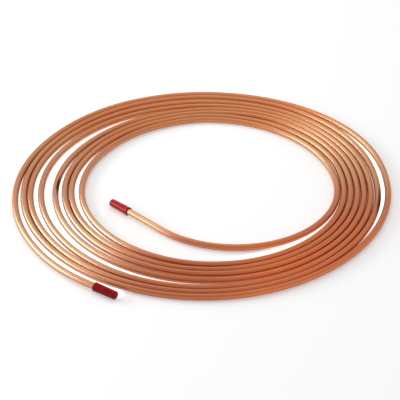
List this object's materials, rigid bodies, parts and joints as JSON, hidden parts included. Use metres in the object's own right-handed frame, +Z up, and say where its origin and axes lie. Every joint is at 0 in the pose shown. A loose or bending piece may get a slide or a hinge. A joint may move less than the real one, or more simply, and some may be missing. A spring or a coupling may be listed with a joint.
{
  "type": "copper tube coil",
  "caption": "Flat loosely sprung coil of soft bright copper tube, lying in one layer, with a red push-on cap on each end.",
  "frame": {"origin": "on the floor, at the middle of the coil's outline", "axes": "+Z up out of the flat coil; the inner end leaves the innermost turn at +X, and the turns run counter-clockwise outwards seen from above; -Y is the side with both capped ends"},
  "size_m": [0.4764, 0.4748, 0.011],
  "materials": {
    "bright_copper": "bright drawn soft copper, semi-polished, with faint draw lines",
    "red_cap_inner": "glossy soft red vinyl",
    "red_cap_outer": "glossy soft red vinyl"
  },
  "bodies": {
    "root": {"copper_tube": "bright_copper", "inner_end_cap": "red_cap_inner", "outer_end_cap": "red_cap_outer"}
  },
  "joints": []
}
